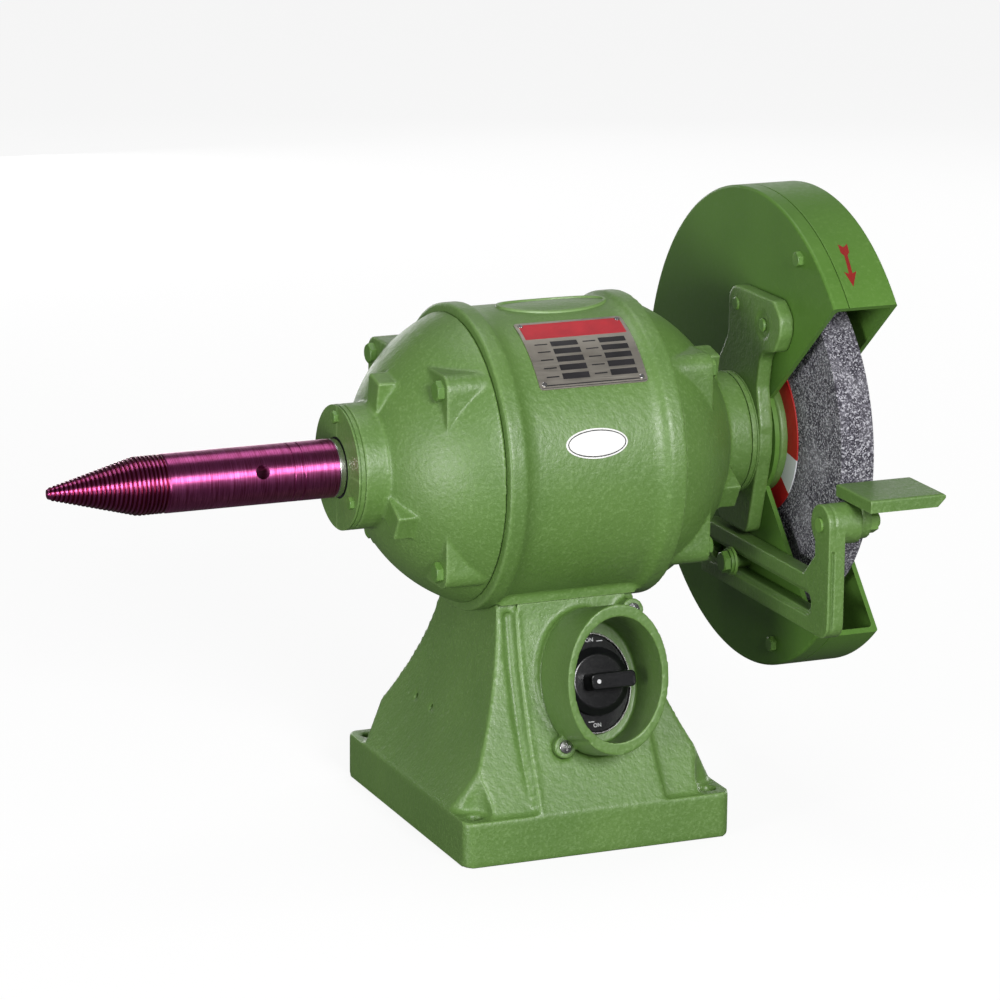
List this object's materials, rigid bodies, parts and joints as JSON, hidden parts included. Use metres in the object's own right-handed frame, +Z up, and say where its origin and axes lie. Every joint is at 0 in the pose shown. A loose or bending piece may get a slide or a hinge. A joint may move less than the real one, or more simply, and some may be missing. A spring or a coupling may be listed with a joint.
{
  "type": "polishing machine",
  "caption": "Bench polisher and grinder: motor on a hollow cast pedestal, tapered polishing spindle at one end, guarded wheel with a sliding tool rest at the other, rotary switch in front.",
  "frame": {"origin": "on the bench, midway between the bench bolts", "axes": "+X along the shaft towards the grinding wheel, -Y is the front with the switch, +Z up"},
  "size_m": [0.589, 0.3573, 0.4397],
  "materials": {
    "green_enamel": "green hammered enamel over a cast surface, glossy",
    "green_bolt": "painted-over steel bolt",
    "bright_steel": "bright turned steel",
    "purple_anodised": "glossy purple anodised",
    "abrasive": "grey speckled grit",
    "red_paper": "red paper with a white patch",
    "plate_silver": "satin plate with printed bare fields",
    "badge_white": "white enamel with a dark border",
    "black_plastic": "black moulded",
    "beige_plastic": "moulded insulation",
    "core_steel": "stacked laminations",
    "rotor_aluminium": "die cast",
    "copper_winding": "varnished copper wire",
    "brass_stud": "bright brass",
    "black_rubber": "matt rubber"
  },
  "bodies": {
    "machine": {"pedestal": "green_enamel", "motor_mount_bolts": "bright_steel", "cable_gland": "black_plastic", "earth_stud": "brass_stud", "switch_housing": "green_enamel", "switch_housing_screws": "bright_steel", "switch_plate": "black_plastic", "switch_bezel": "bright_steel", "switch_body": "beige_plastic", "terminal_block": "beige_plastic", "motor_barrel": "green_enamel", "stator_core": "core_steel", "stator_windings": "copper_winding", "name_plate": "plate_silver", "name_plate_rivets": "bright_steel", "oval_badge": "badge_white", "left_end_bell": "green_enamel", "right_end_bell": "green_enamel", "end_bell_bolts": "green_bolt", "left_bearing_cap": "green_enamel", "right_bearing_cap": "green_enamel", "bearing_cap_screws": "green_bolt", "left_bearing_outer_ring": "bright_steel", "right_bearing_outer_ring": "bright_steel", "left_shaft_seal": "black_rubber", "right_shaft_seal": "black_rubber", "guard_bracket": "green_enamel", "guard_bracket_bolts": "green_bolt", "guard_bracket_nuts": "bright_steel", "guard_shell": "green_enamel", "guard_cover": "green_enamel", "guard_screws": "green_bolt", "rest_clamp_bolt": "green_bolt", "rest_clamp_nut": "bright_steel", "rest_clamp_washer": "green_bolt"},
    "rotor": {"rotor_shaft": "bright_steel", "rotor_core": "core_steel", "rotor_end_rings": "rotor_aluminium", "spindle": "purple_anodised", "spindle_collar": "bright_steel", "left_bearing_inner_ring": "bright_steel", "right_bearing_inner_ring": "bright_steel", "left_bearing_balls": "bright_steel", "right_bearing_balls": "bright_steel", "inner_wheel_flange": "green_enamel", "outer_wheel_flange": "bright_steel", "wheel_blotters": "red_paper", "grinding_wheel": "abrasive", "wheel_nut": "bright_steel"},
    "switch": {"switch_knob": "black_plastic", "switch_shaft": "bright_steel"},
    "rest_slide": {"rest_bracket": "green_enamel", "rest_pivot_bolt": "green_bolt", "rest_pivot_nut": "green_bolt"},
    "rest_table": {"rest_plate": "green_enamel"}
  },
  "joints": [
    {"name": "rotor_spin", "type": "hinge", "parent": "machine", "child": "rotor", "pos_m": [0, 0, 0.2634], "axis": [1, 0, 0], "continuous": true},
    {"name": "switch_turn", "type": "hinge", "parent": "machine", "child": "switch", "pos_m": [0.0085, -0.07719, 0.1128], "axis": [0, -0.9563, 0.2924], "range_deg": [-90, 90]},
    {"name": "tool_rest_slide", "type": "slide", "parent": "machine", "child": "rest_slide", "axis": [0, -1, 0], "range_m": [0, 0.034]},
    {"name": "tool_rest_tilt", "type": "hinge", "parent": "rest_slide", "child": "rest_table", "pos_m": [0.18, -0.1455, 0.2294], "axis": [1, 0, 0], "range_deg": [-5, 35]}
  ]
}
